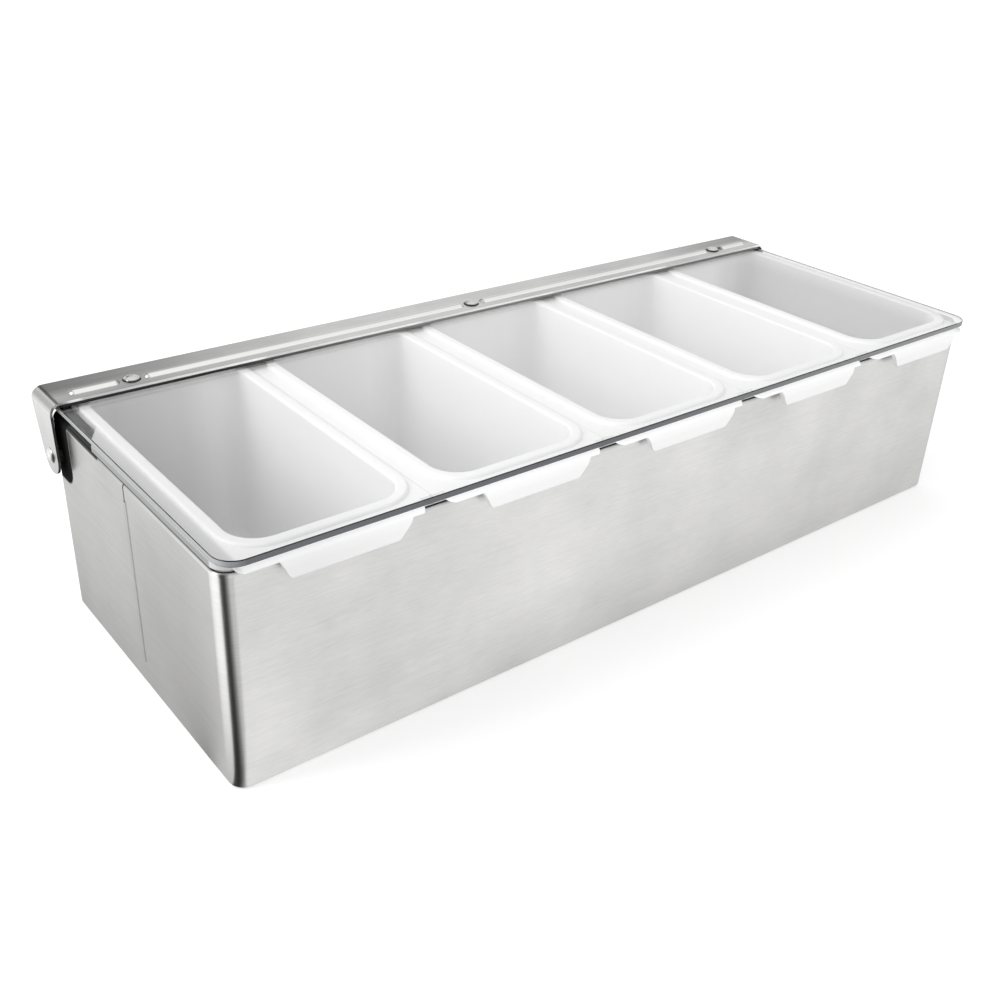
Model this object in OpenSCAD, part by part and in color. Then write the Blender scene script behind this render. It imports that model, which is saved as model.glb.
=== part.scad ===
// Condiment dispenser: a low stainless steel box with lift-out inserts and a hinged clear lid.
// X runs along the length, Y from front to back, Z up; the origin is the middle of the underside.

/* [Housing] */
// Length over the end walls
housing_len = 480; // [420:1:600]
// Depth from the front wall's outer face to the back wall's
housing_depth = 176; // [150:1:220]
// Height from the underside to the top of the wall
housing_h = 105.5; // [70:1:160]
// Thickness of the steel sheet
sheet_t = 0.8; // [0.6:0.1:1.2]
// Outside radius of the upright corners
housing_corner_r = 8; // [6.5:0.5:14]
// How far the folded hem reaches in from the wall's outer face
hem_w = 4.6; // [4:0.1:5.5]
// Outside radius of the bend between wall and hem
hem_bend_r = 2.4; // [1.8:0.1:3]
// Outside radius of the bend at the bottom edge
foot_bend_r = 2; // [1.5:0.1:3]
// How far the bottom flange reaches in from the wall's outer face
foot_flange_w = 12; // [8:0.5:20]
// Space between the bottom bend and the edge of the bottom pan
pan_gap = 0.6; // [0.3:0.1:2]

/* [Seam in the left end wall] */
// Width of the ground weld bead
seam_w = 3.5; // [3:0.5:9]
// How far the weld bead stands out of the wall
seam_rise = 0.34; // [0.1:0.02:0.4]
// Distance from the weld bead's lower end to the underside
seam_low = 14; // [8:1:25]
// Distance from the weld bead's upper end to the top of the wall
seam_top = 9; // [6:0.5:20]
// Width of the open slit above the weld
slit_w = 1; // [0.6:0.1:2]

/* [Inserts] */
// Distance from the box's end to the first and last insert
end_inset = 0.5; // [0.3:0.1:1.2]
// Gap between neighbouring inserts
insert_gap = 0.3; // [0.1:0.1:1]
// Thickness of an insert's flange
flange_t = 2.6; // [2:0.1:3.5]
// Thickness of an insert's walls and floor
insert_wall = 2; // [1.5:0.1:3]
// Space between the hem and the front and back walls of an insert
tub_gap = 0.9; // [0.5:0.1:3]
// Distance from the flange's left side to the mouth; the right rim follows the hem and the tub's wall
left_rim = 13; // [8.5:0.1:16]
// Distance from the mouth to the flange's back edge
back_rim = 6; // [4:0.1:8]
// How much of the back hem the flange's back edge leaves bare
back_bare = 3; // [2.5:0.1:3.5]
// Height of the rim bead above the flange
bead_rise = 1.4; // [0.8:0.1:2.2]
// Width of the rim bead
bead_w = 5.5; // [4:0.1:6.2]
// Plan radius of the mouth's corners
mouth_r = 14; // [11:0.5:20]
// Draft of the insert's walls in degrees
insert_draft = 2; // [1:0.1:2.5]
// Radius between the insert's walls and its floor, inside
floor_r = 7; // [4:0.5:8]
// Space between the insert's floor and the bottom pan
insert_lift = 10; // [3:1:25]
// Plan radius of the flange's back corners
back_corner_r = 8; // [4:0.5:10]
// How far from the back the side flange of the end inserts is cut away
cut_back = 53.5; // [40:0.5:80]
// Length of the slanted part of that cut
cut_slope = 13; // [6:0.5:20]

/* [Front lip and tab] */
// How far the lip stands out of the front wall
lip_out = 6.5; // [4.8:0.1:9]
// Outside radius of the lip's bend
lip_bend_r = 4.6; // [3.8:0.1:5.5]
// Width of the tab at its two notches
tab_w = 60; // [40:1:72]
// How far the tab stands to the right of the insert's middle
tab_shift = 4.5; // [0:0.5:5]
// How far the tab reaches below the flange
tab_drop = 7.4; // [6:0.1:16]
// Slant of the tab's left side in degrees
tab_slant = 25; // [5:1:32]
// Slant of the tab's right side in degrees
tab_slant_right = 42; // [5:1:45]
// How much of the lip's thickness is relieved from below on each side of the tab
lip_relief = 1.2; // [0.4:0.1:1.4]
// Radius of the tab's lower corners
tab_r = 5; // [2:0.5:5.5]
// Distance from the flange's side to the lip's end
lip_inset = 5.8; // [3:0.1:6]
// Plan radius of the lip's ends
lip_end_r = 5.5; // [3:0.1:6]

/* [Clear lid] */
// Thickness of the lid
lid_t = 3; // [2:0.1:5]
// How far the lid reaches past the front wall
lid_front_over = 4.6; // [2:0.1:4.7]
// Distance from the back wall's outer face to the lid's back edge, to the rear
lid_back_over = 2.5; // [0:0.1:4]
// Plan radius of the lid's front corners
lid_front_r = 10; // [4:0.5:20]
// Plan radius of the lid's back corners
lid_back_r = 3; // [1:0.5:8]

/* [Hinge bar] */
// Thickness of the bar
bar_t = 1.2; // [1:0.1:2]
// Width of the bar from front to back
bar_w = 24.5; // [20:0.5:32]
// Distance from the back wall's outer face to the bar's back edge, to the rear
bar_back_over = 6.5; // [4:0.5:7.5]
// Space between the lid and the bar
bar_rise = 1.5; // [1:0.1:3]
// Outside radius of the bends at the bar's ends
bar_bend_r = 5.5; // [3:0.1:8]
// Width of the pressed rib
rib_w = 6; // [4:0.5:8]
// Height of the pressed rib
rib_rise = 1.4; // [0.8:0.1:1.6]
// Distance from the bar's front edge to the middle of the rib
rib_in = 8.5; // [6:0.5:16]
// Distance from the last rib's tip to the outer face of the bar's end
rib_end = 12; // [8:0.5:30]
// Distance from a rivet's middle to the tip of the rib on each side
rib_break = 6; // [5.2:0.1:12]
// Distance from the box's end to the outer rivets
rivet_inset = 38; // [25:1:90]

/* [Lid rivets] */
// Diameter of the rivets' heads
head_d = 9; // [7:0.5:10]
// Height of the rivets' heads
head_h = 2; // [1.2:0.1:3]
// Diameter of the rivets' shanks
shank_d = 4; // [3:0.1:5]
// Diameter of the countersunk ends under the lid
tail_d = 7; // [6:0.1:9]
// Diameter of the spacers between lid and bar
spacer_d = 10; // [8:0.5:14]

/* [Pivots] */
// Distance from the pivot to the top of the wall
pivot_down = 19; // [18:0.5:24]
// Distance from the pivot to the back wall's outer face
pivot_in = 10; // [8.5:0.5:10]
// Radius of the ear's round end
ear_r = 9; // [7:0.5:11]
// Length of the sleeves between the box and the ears
sleeve_len = 3.2; // [2:0.1:6]
// Outside diameter of the sleeves
sleeve_d = 7.5; // [6:0.1:9]
// Diameter of the pivot rivets' shanks
pivot_d = 4; // [3:0.1:4.5]
// Diameter of the pivot rivets' heads
pivot_head_d = 8; // [7:0.1:11]
// Height of the pivot rivets' heads
pivot_head_h = 1.8; // [1:0.1:3]
// Radial clearance of the pivots in the ears
pivot_play = 0.05; // [0.02:0.01:0.09]
// Side clearance of each ear on its pivot
side_play = 0.1; // [0.05:0.05:0.3]
// Diameter of the backing washers inside the box
washer_d = 7.4; // [6.4:0.1:7.6]
// Thickness of the backing washers
washer_t = 0.8; // [0.6:0.1:2]
// Space between the wall's flat and the washer, which bears where the corner's curve begins
washer_set = 0.2; // [0.2:0.1:0.6]

/* [Hidden] */
$fn = 64;
eps = 0.01;
half_len = housing_len / 2;
half_depth = housing_depth / 2;
core_x = half_len - housing_corner_r;
core_y = half_depth - housing_corner_r;
hem_t = 2 * sheet_t;
foot_in_r = foot_bend_r - sheet_t;
pan_z = sheet_t;
pan_half_x = half_len - foot_bend_r - pan_gap;
pan_half_y = half_depth - foot_bend_r - pan_gap;
pan_r = housing_corner_r - foot_bend_r - pan_gap;

insert_count = 5;
pitch = (housing_len - 2 * end_inset + insert_gap) / insert_count;
flange_half = (pitch - insert_gap) / 2;
flange_z = housing_h;
flange_top = flange_z + flange_t;
bead_top = flange_top + bead_rise;
right_rim = hem_w + tub_gap + insert_wall - end_inset;
mouth_half = flange_half - (left_rim + right_rim) / 2;
mouth_shift = (left_rim - right_rim) / 2;
mouth_front = -(half_depth - hem_w - tub_gap - insert_wall);
flange_back = half_depth - back_bare;
mouth_back = flange_back - back_rim;
tub_z = pan_z + sheet_t + insert_lift;
cavity_z = tub_z + insert_wall;
core_mouth_x = mouth_half - mouth_r;
core_front = mouth_front + mouth_r;
core_back = mouth_back - mouth_r;
draft_tan = tan(insert_draft);
bead_half = mouth_half + bead_w;
cut_y1 = half_depth - cut_back + cut_slope;
cut_y0 = half_depth - cut_back;
side_front_y = -(half_depth - 1.2);
lip_y = -(half_depth + lip_out);
lip_half = flange_half - lip_inset;
tab_z = flange_z - tab_drop;
lip_in_r = lip_bend_r - flange_t;
lip_bend_y = lip_y + lip_bend_r;
lip_bend_z = flange_top - lip_bend_r;

lid_z = bead_top;
lid_top = lid_z + lid_t;
lid_front = -(half_depth + lid_front_over);
lid_back = half_depth + lid_back_over;
bar_z = lid_top + bar_rise;
bar_top = bar_z + bar_t;
bar_back = half_depth + bar_back_over;
bar_front = bar_back - bar_w;
rib_y = bar_front + rib_in;
ear_in_x = half_len + sleeve_len + side_play;
ear_out_x = ear_in_x + bar_t;
rib_r = (rib_w * rib_w / 4 + rib_rise * rib_rise) / (2 * rib_rise);
rib_z = bar_top + rib_rise - rib_r;
rivet_x = half_len - rivet_inset;
head_r = (head_d * head_d / 4 + head_h * head_h) / (2 * head_h);
hole_play = 0.05;
pivot_y = half_depth - pivot_in;
pivot_z = housing_h - pivot_down;
pivot_head_r = (pivot_head_d * pivot_head_d / 4 + pivot_head_h * pivot_head_h) / (2 * pivot_head_h);
bend_low_z = bar_top - bar_bend_r;

// A flat rectangle with round corners, from its edges and one radius.
module round_rect(x0, x1, y0, y1, r) {
  translate([x0 + r, y0])
    square([x1 - x0 - 2 * r, y1 - y0]);
  translate([x0, y0 + r])
    square([x1 - x0, y1 - y0 - 2 * r]);
  for (x = [x0 + r, x1 - r])
    for (y = [y0 + r, y1 - r])
      translate([x, y])
        circle(r = r);
}

// A cross-section carried once around a rectangle whose corners are arcs about its core points.
module carried_round(x0, x1, y0, y1) {
  at = [[x1, y1], [x0, y1], [x0, y0], [x1, y0]];
  run = [y1 - y0, x1 - x0, y1 - y0, x1 - x0];
  for (k = [0:3])
    translate([at[k][0], at[k][1], 0])
      rotate([0, 0, 90 * k]) {
        rotate_extrude(angle = 90)
          children();
        rotate([90, 0, 0])
          linear_extrude(run[k])
            children();
      }
}

// One quarter of a ring: the section of a bent sheet.
module quarter_ring(r_out, r_in, turn) {
  rotate(turn)
    intersection() {
      difference() {
        circle(r = r_out);
        if (r_in > 0)
          circle(r = r_in);
      }
      square(r_out + 1);
    }
}

// Section of the housing's wall: bottom bend, wall, top bend and closed hem.
module wall_section() {
  r = housing_corner_r;
  translate([r - foot_bend_r, foot_bend_r])
    quarter_ring(foot_bend_r, foot_in_r, -90);
  translate([r - sheet_t, foot_bend_r])
    square([sheet_t, housing_h - hem_bend_r - foot_bend_r]);
  translate([r - hem_bend_r, housing_h - hem_bend_r])
    quarter_ring(hem_bend_r, hem_bend_r - sheet_t, 0);
  translate([r - hem_w + sheet_t, housing_h - hem_t])
    square([hem_w - sheet_t - hem_bend_r, hem_t]);
  translate([r - hem_w + sheet_t, housing_h - sheet_t])
    circle(r = sheet_t);
}

module housing_wall() {
  seam_r = (seam_w * seam_w / 4 + seam_rise * seam_rise) / (2 * seam_rise);
  color([0.80, 0.80, 0.79])
    difference() {
      union() {
        carried_round(-core_x, core_x, -core_y, core_y)
          wall_section();
        linear_extrude(sheet_t)
          difference() {
            round_rect(-half_len + foot_bend_r, half_len - foot_bend_r,
              -half_depth + foot_bend_r, half_depth - foot_bend_r, housing_corner_r - foot_bend_r);
            round_rect(-half_len + foot_flange_w, half_len - foot_flange_w,
              -half_depth + foot_flange_w, half_depth - foot_flange_w, 4);
          }
        intersection() {
          translate([-half_len - seam_rise + seam_r, 0, seam_low])
            cylinder(r = seam_r, h = housing_h - seam_top - seam_low);
          translate([-half_len - 1, -seam_w, 0])
            cube([1 + sheet_t / 2, 2 * seam_w, housing_h]);
        }
      }
      translate([-half_len - 1, -slit_w / 2, housing_h - seam_top])
        cube([1 + hem_w + 1, slit_w, seam_top + 1]);
      for (s = [-1, 1])
        translate([s * half_len, pivot_y, pivot_z])
          rotate([0, 90, 0])
            cylinder(d = pivot_d, h = 6, center = true);
    }
}

module bottom_pan() {
  color([0.74, 0.74, 0.73])
    translate([0, 0, pan_z])
      linear_extrude(sheet_t)
        round_rect(-pan_half_x, pan_half_x, -pan_half_y, pan_half_y, pan_r);
}

// Half of a flange's outline on the +x side; the side strip of an end insert stops short of the back,
// where the flange reaches out only to the bead.
module half_flange(cut, corner_r, bead_x) {
  rear_x = cut ? bead_x : flange_half;
  side_y = cut ? cut_y0 : flange_back - back_corner_r;
  square_y = side_front_y + corner_r;
  translate([0, square_y])
    square([flange_half, side_y - square_y]);
  translate([0, side_front_y])
    square([flange_half - corner_r, corner_r + 1]);
  translate([flange_half - corner_r, square_y])
    circle(r = corner_r);
  if (cut) {
    polygon([[0, cut_y0], [flange_half, cut_y0], [rear_x, cut_y1], [0, cut_y1]]);
    translate([0, cut_y1 - 1])
      square([rear_x, flange_back - back_corner_r - cut_y1 + 1]);
  }
  translate([0, flange_back - back_corner_r - 1])
    square([rear_x - back_corner_r, back_corner_r + 1]);
  translate([rear_x - back_corner_r, flange_back - back_corner_r])
    circle(r = back_corner_r);
}

// Plan of the lip that stands out of the front wall.
module lip_plan() {
  round_rect(-lip_half, lip_half, lip_y, lip_y + 2 * lip_end_r + 8, lip_end_r);
}

// Section of the lip and tab: flat, bend and drop.
module lip_section() {
  translate([lip_bend_y, lip_bend_z])
    quarter_ring(lip_bend_r, lip_in_r, 90);
  translate([lip_bend_y, flange_z])
    square([side_front_y + 3 - lip_bend_y, flange_t]);
  translate([lip_y, tab_z + flange_t / 2])
    square([flange_t, lip_bend_z - tab_z - flange_t / 2]);
  translate([lip_y + flange_t / 2, tab_z + flange_t / 2])
    circle(d = flange_t);
}

// Half of the tab's front view: a slanted side with a round lower corner.
module tab_half(slant) {
  low_x = tab_w / 2 - (tab_drop + lip_relief) * tan(slant);
  reach = tab_r / tan((90 + slant) / 2);
  polygon([[0, tab_z], [low_x - reach, tab_z], [low_x + reach * sin(slant), tab_z + reach * cos(slant)],
    [tab_w / 2, flange_z + lip_relief], [tab_w / 2, flange_top + 1], [0, flange_top + 1]]);
  translate([low_x - reach, tab_z + tab_r])
    circle(r = tab_r);
}

// Front view of what is left of the lip: its relieved thickness all along, the tab below.
module lip_front() {
  translate([-lip_half, flange_z + lip_relief])
    square([2 * lip_half, flange_t - lip_relief + 1]);
  translate([tab_shift, 0]) {
    tab_half(tab_slant_right);
    mirror([1, 0])
      tab_half(tab_slant);
  }
}

module front_lip() {
  intersection() {
    rotate([90, 0, 90])
      linear_extrude(2 * lip_half + 2, center = true)
        lip_section();
    translate([0, 0, tab_z - 1])
      linear_extrude(tab_drop + flange_t + 2)
        lip_plan();
    rotate([90, 0, 0])
      translate([0, 0, half_depth - 4])
        linear_extrude(lip_out + 6)
          lip_front();
  }
}

// Section of a drafted shell's face, measured out from the core of its corners.
module shell_section(r_top, z_top, z_low, fillet) {
  r_low = r_top - (z_top - z_low) * draft_tan;
  mid_x = r_low - fillet * (1 - sin(insert_draft)) / cos(insert_draft);
  mid_z = z_low + fillet;
  polygon([[0, z_low], [mid_x, z_low],
    [mid_x + fillet * cos(insert_draft), mid_z - fillet * sin(insert_draft)],
    [r_top, z_top], [0, z_top]]);
  intersection() {
    translate([mid_x, mid_z])
      circle(r = fillet);
    translate([0, z_low - 1])
      square([r_top, fillet + 1]);
  }
}

// The same shell as a solid block, corners and all.
module shell_solid(r_top, z_top, z_low, fillet) {
  carried_round(-core_mouth_x, core_mouth_x, core_front, core_back)
    shell_section(r_top, z_top, z_low, fillet);
  translate([-core_mouth_x, core_front, z_low])
    cube([2 * core_mouth_x, core_back - core_front, z_top - z_low]);
}

module bead_section() {
  edge = bead_rise;
  translate([mouth_r - 1, flange_z])
    square([bead_w + 1, flange_t]);
  translate([mouth_r - 1, flange_top])
    square([bead_w + 1 - edge, bead_rise]);
  translate([mouth_r + bead_w - edge, flange_top])
    quarter_ring(edge, 0, 0);
}

// The bead runs along the front and both sides and slopes down to the flange short of the hinge bar.
module rim_bead() {
  slope_y = bar_front + 6;
  difference() {
    carried_round(-core_mouth_x, core_mouth_x, core_front, core_back)
      bead_section();
    rotate([90, 0, 90])
      linear_extrude(2 * (mouth_half + bead_w + 1), center = true)
        polygon([[slope_y, flange_top], [slope_y - bead_rise - 1, flange_top + bead_rise + 1],
          [half_depth, flange_top + bead_rise + 1], [half_depth, flange_top]]);
  }
}

// Rounding of the mouth's inner edge.
module edge_round_section() {
  edge = 1.2;
  difference() {
    translate([mouth_r - 1, bead_top - edge])
      square([edge + 1, edge + 1]);
    translate([mouth_r + edge, bead_top - edge])
      circle(r = edge);
    translate([mouth_r + edge, bead_top - edge])
      square([2, 3]);
  }
}

// cut_left and cut_right: the side strip is cut away towards the back.
module insert_tray(cut_left, cut_right, left_r, right_r) {
  color([0.95, 0.95, 0.94])
    difference() {
      union() {
        translate([0, 0, flange_z])
          linear_extrude(flange_t) {
            half_flange(cut_right, right_r, bead_half + mouth_shift);
            mirror([1, 0])
              half_flange(cut_left, left_r, bead_half - mouth_shift);
          }
        front_lip();
        translate([mouth_shift, 0, 0]) {
          rim_bead();
          shell_solid(mouth_r + insert_wall, flange_z + eps, tub_z, floor_r + insert_wall);
        }
      }
      translate([mouth_shift, 0, 0]) {
        shell_solid(mouth_r, bead_top + 1, cavity_z, floor_r);
        carried_round(-core_mouth_x, core_mouth_x, core_front, core_back)
          edge_round_section();
      }
    }
}

module placed_insert(k) {
  end_r = housing_corner_r + 0.5;
  translate([(k - (insert_count + 1) / 2) * pitch, 0, 0])
    insert_tray(k == 1, k == insert_count, k == 1 ? end_r : 1.5, k == insert_count ? end_r : 1.5);
}

module insert_1() {
  placed_insert(1);
}

module insert_2() {
  placed_insert(2);
}

module insert_3() {
  placed_insert(3);
}

module insert_4() {
  placed_insert(4);
}

module insert_5() {
  placed_insert(5);
}

module lid_plan() {
  translate([-half_len + lid_front_r, lid_front])
    square([housing_len - 2 * lid_front_r, lid_front_r + 1]);
  translate([-half_len, lid_front + lid_front_r])
    square([housing_len, lid_back - lid_front - lid_front_r - lid_back_r]);
  translate([-half_len + lid_back_r, lid_back - lid_back_r - 1])
    square([housing_len - 2 * lid_back_r, lid_back_r + 1]);
  for (s = [-1, 1]) {
    translate([s * (half_len - lid_front_r), lid_front + lid_front_r])
      circle(r = lid_front_r);
    translate([s * (half_len - lid_back_r), lid_back - lid_back_r])
      circle(r = lid_back_r);
  }
}

module clear_lid() {
  sink = (tail_d - shank_d) / 2;
  color([0.85, 0.90, 0.92, 0.35])
    difference() {
      translate([0, 0, lid_z])
        linear_extrude(lid_t)
          lid_plan();
      for (x = [-rivet_x, 0, rivet_x])
        translate([x, rib_y, lid_z - eps]) {
          cylinder(d = shank_d + 2 * hole_play, h = lid_t + 1);
          cylinder(r1 = tail_d / 2 + hole_play + eps, r2 = shank_d / 2 + hole_play, h = sink + eps);
        }
    }
}

// Solid whose skin is the rib: a round bar with ball ends from tip to tip.
module rib_core(x0, x1, r) {
  half_w = sqrt(rib_r * rib_r - (bar_top - rib_z) * (bar_top - rib_z));
  translate([x0 + half_w, rib_y, rib_z])
    rotate([0, 90, 0])
      cylinder(r = r, h = x1 - x0 - 2 * half_w);
  for (x = [x0 + half_w, x1 - half_w])
    translate([x, rib_y, rib_z])
      sphere(r = r);
}

module rib_runs(r) {
  outer_tip = ear_out_x - rib_end;
  rib_core(-outer_tip, -rivet_x - rib_break, r);
  rib_core(-rivet_x + rib_break, -rib_break, r);
  rib_core(rib_break, rivet_x - rib_break, r);
  rib_core(rivet_x + rib_break, outer_tip, r);
}

// Side view of an ear: full width at the bend, drawn in to a round end about the pivot.
module ear_side() {
  dy = bar_back - pivot_y;
  dz = bend_low_z - pivot_z;
  reach = sqrt(dy * dy + dz * dz);
  turn = atan2(dz, dy) - acos(ear_r / reach);
  front_dy = pivot_y - bar_front;
  front_reach = sqrt(front_dy * front_dy + dz * dz);
  front_turn = 180 - atan2(dz, front_dy) + acos(ear_r / front_reach);
  polygon([[bar_front, bend_low_z], [bar_back, bend_low_z],
    [pivot_y + ear_r * cos(turn), pivot_z + ear_r * sin(turn)], [pivot_y, pivot_z],
    [pivot_y + ear_r * cos(front_turn), pivot_z + ear_r * sin(front_turn)]]);
  translate([pivot_y, pivot_z])
    circle(r = ear_r);
}

module hinge_bar() {
  bend_x = ear_out_x - bar_bend_r;
  color([0.70, 0.70, 0.69])
    difference() {
      union() {
        translate([-bend_x, bar_front, bar_z])
          cube([2 * bend_x, bar_w, bar_t]);
        for (s = [-1, 1]) {
          translate([s * bend_x, bar_back, bend_low_z])
            rotate([90, 0, 0])
              linear_extrude(bar_w)
                quarter_ring(bar_bend_r, bar_bend_r - bar_t, s > 0 ? 0 : 90);
          translate([s > 0 ? ear_in_x : -ear_out_x, 0, 0])
            rotate([90, 0, 90])
              linear_extrude(bar_t)
                ear_side();
        }
        intersection() {
          rib_runs(rib_r);
          translate([-bend_x, bar_front, bar_z + bar_t / 2])
            cube([2 * bend_x, bar_w, bar_t + rib_rise]);
        }
      }
      rib_runs(rib_r - bar_t);
      for (x = [-rivet_x, 0, rivet_x])
        translate([x, rib_y, bar_z - 1])
          cylinder(d = shank_d + 2 * hole_play, h = bar_t + 3);
      translate([0, pivot_y, pivot_z])
        rotate([0, 90, 0])
          cylinder(d = pivot_d + 2 * pivot_play, h = 2 * ear_out_x + 2, center = true);
    }
}

// A domed head, a shank through bar, spacer and lid, and a countersunk end flush with the lid.
module lid_rivet(x) {
  sink = (tail_d - shank_d) / 2;
  color([0.78, 0.78, 0.77])
    translate([x, rib_y, 0]) {
      intersection() {
        translate([0, 0, bar_top + head_h - head_r])
          sphere(r = head_r);
        translate([0, 0, bar_top])
          cylinder(d = head_d + 1, h = head_h + 1);
      }
      translate([0, 0, lid_z])
        cylinder(d = shank_d, h = bar_top - lid_z + head_h / 2);
      translate([0, 0, lid_z])
        cylinder(r1 = tail_d / 2, r2 = shank_d / 2, h = sink);
    }
}

module lid_spacer(x) {
  color([0.60, 0.60, 0.60])
    translate([x, rib_y, lid_top])
      difference() {
        cylinder(d = spacer_d, h = bar_rise);
        translate([0, 0, -1])
          cylinder(d = shank_d + 2 * hole_play, h = bar_rise + 2);
      }
}

module lid_rivet_left() {
  lid_rivet(-rivet_x);
}

module lid_rivet_middle() {
  lid_rivet(0);
}

module lid_rivet_right() {
  lid_rivet(rivet_x);
}

module lid_spacer_left() {
  lid_spacer(-rivet_x);
}

module lid_spacer_middle() {
  lid_spacer(0);
}

module lid_spacer_right() {
  lid_spacer(rivet_x);
}

// The pivot pieces of the right end, drawn with x outwards; the left end mirrors them.
module pivot_rivet() {
  head_x = ear_out_x + side_play;
  inner_x = half_len - sheet_t - washer_set - washer_t;
  tail_h = 1.2;
  color([0.76, 0.76, 0.75])
    translate([0, pivot_y, pivot_z])
      rotate([0, 90, 0]) {
        intersection() {
          translate([0, 0, head_x + pivot_head_h - pivot_head_r])
            sphere(r = pivot_head_r);
          translate([0, 0, head_x])
            cylinder(d = pivot_head_d + 1, h = pivot_head_h + 1);
        }
        translate([0, 0, inner_x - tail_h])
          cylinder(d = pivot_d, h = head_x - inner_x + tail_h + pivot_head_h / 2);
        translate([0, 0, inner_x - tail_h])
          cylinder(d = (pivot_d + washer_d) / 2, h = tail_h);
      }
}

module pivot_sleeve() {
  color([0.72, 0.72, 0.71])
    translate([half_len, pivot_y, pivot_z])
      rotate([0, 90, 0])
        difference() {
          cylinder(d = sleeve_d, h = sleeve_len);
          translate([0, 0, -1])
            cylinder(d = pivot_d, h = sleeve_len + 2);
        }
}

module pivot_washer() {
  color([0.72, 0.72, 0.71])
    translate([half_len - sheet_t - washer_set - washer_t, pivot_y, pivot_z])
      rotate([0, 90, 0])
        difference() {
          cylinder(d = washer_d, h = washer_t);
          translate([0, 0, -1])
            cylinder(d = pivot_d, h = washer_t + 2);
        }
}

module pivot_rivet_right() {
  pivot_rivet();
}

module pivot_rivet_left() {
  mirror([1, 0, 0])
    pivot_rivet();
}

module pivot_sleeve_right() {
  pivot_sleeve();
}

module pivot_sleeve_left() {
  mirror([1, 0, 0])
    pivot_sleeve();
}

module pivot_washer_right() {
  pivot_washer();
}

module pivot_washer_left() {
  mirror([1, 0, 0])
    pivot_washer();
}

housing_wall();
bottom_pan();
insert_1();
insert_2();
insert_3();
insert_4();
insert_5();
clear_lid();
hinge_bar();
lid_rivet_left();
lid_rivet_middle();
lid_rivet_right();
lid_spacer_left();
lid_spacer_middle();
lid_spacer_right();
pivot_rivet_left();
pivot_rivet_right();
pivot_sleeve_left();
pivot_sleeve_right();
pivot_washer_left();
pivot_washer_right();
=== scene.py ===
import math

import bmesh
import bpy
from mathutils import Euler, Matrix, Vector


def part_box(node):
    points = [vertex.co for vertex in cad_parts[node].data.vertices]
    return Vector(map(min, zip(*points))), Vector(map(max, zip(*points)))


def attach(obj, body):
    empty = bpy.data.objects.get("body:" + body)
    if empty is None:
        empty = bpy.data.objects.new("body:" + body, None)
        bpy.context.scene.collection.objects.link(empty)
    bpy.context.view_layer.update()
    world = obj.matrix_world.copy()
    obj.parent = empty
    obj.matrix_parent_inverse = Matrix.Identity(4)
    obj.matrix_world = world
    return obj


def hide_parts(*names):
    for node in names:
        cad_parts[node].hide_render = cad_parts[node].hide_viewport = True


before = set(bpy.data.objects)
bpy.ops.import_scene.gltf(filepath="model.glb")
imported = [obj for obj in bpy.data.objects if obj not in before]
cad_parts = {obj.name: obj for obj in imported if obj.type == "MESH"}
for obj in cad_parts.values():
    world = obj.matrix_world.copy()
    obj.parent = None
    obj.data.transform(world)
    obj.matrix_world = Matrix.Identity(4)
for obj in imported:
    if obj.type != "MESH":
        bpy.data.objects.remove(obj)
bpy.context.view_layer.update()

# The housing: one band of 0.8 mm stainless sheet bent round four corners, hemmed at the top and
# turned in at the bottom, with a ground weld seam in its left end. The sheet was brushed before
# it was bent, so its grain runs level all the way round.


def add(tree, kind, inputs=None, **settings):
    """One shader node, with its settings made and its inputs given a value or joined to a socket."""
    made = tree.nodes.new("ShaderNode" + kind)
    for key, value in settings.items():
        setattr(made, key, value)
    for key, value in (inputs or {}).items():
        if isinstance(value, bpy.types.NodeSocket):
            tree.links.new(value, made.inputs[key])
        else:
            made.inputs[key].default_value = value
    return made


def work_out(tree, operation, *values):
    """The result of one sum on the values."""
    return add(tree, "Math", dict(enumerate(values)), operation=operation).outputs[0]


def scaled(tree, vector, factor):
    """A vector or colour times a number."""
    return add(tree, "VectorMath", {0: vector, "Scale": factor}, operation="SCALE").outputs[0]


def stretched(tree, place, factors):
    """A place times a number for each axis: the larger the number, the finer what is spread by it."""
    return add(tree, "VectorMath", {0: place, 1: factors}, operation="MULTIPLY").outputs[0]


def fade(tree, value, span, levels=(0.0, 1.0)):
    """Goes from one level to the other as the value crosses the span, and stays level beyond it."""
    limits = {"From Min": span[0], "From Max": span[1], "To Min": levels[0], "To Max": levels[1]}
    return add(tree, "MapRange", {"Value": value, **limits}).outputs[0]


def mix(tree, kind, share, first, second, **settings):
    """The first value where the share is 0 and the second where it is 1, both of one kind."""
    a, b, result = {"FLOAT": (2, 3, 0), "VECTOR": (4, 5, 1), "RGBA": (6, 7, 2)}[kind]
    return add(tree, "Mix", {0: share, a: first, b: second}, data_type=kind, **settings).outputs[result]


def relief(tree, height, strength, reach):
    """The direction of the faces with a fine relief on them, from its height."""
    return add(tree, "Bump", {"Height": height, "Strength": strength, "Distance": reach}).outputs[0]


def all_of(tree, *masks):
    """The masks multiplied, so the result is full only where each of them is."""
    result = masks[0]
    for mask in masks[1:]:
        result = work_out(tree, "MULTIPLY", result, mask)
    return result


def any_of(tree, *masks):
    """The strongest of the masks at each point."""
    result = masks[0]
    for mask in masks[1:]:
        result = work_out(tree, "MAXIMUM", result, mask)
    return result


def axes_of(tree, vector):
    """The X, Y and Z of a vector, as three sockets."""
    split = add(tree, "SeparateXYZ", {0: vector}).outputs
    return split["X"], split["Y"], split["Z"]


def grey(level):
    """A colour without a tint."""
    return (level, level, level, 1)


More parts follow.
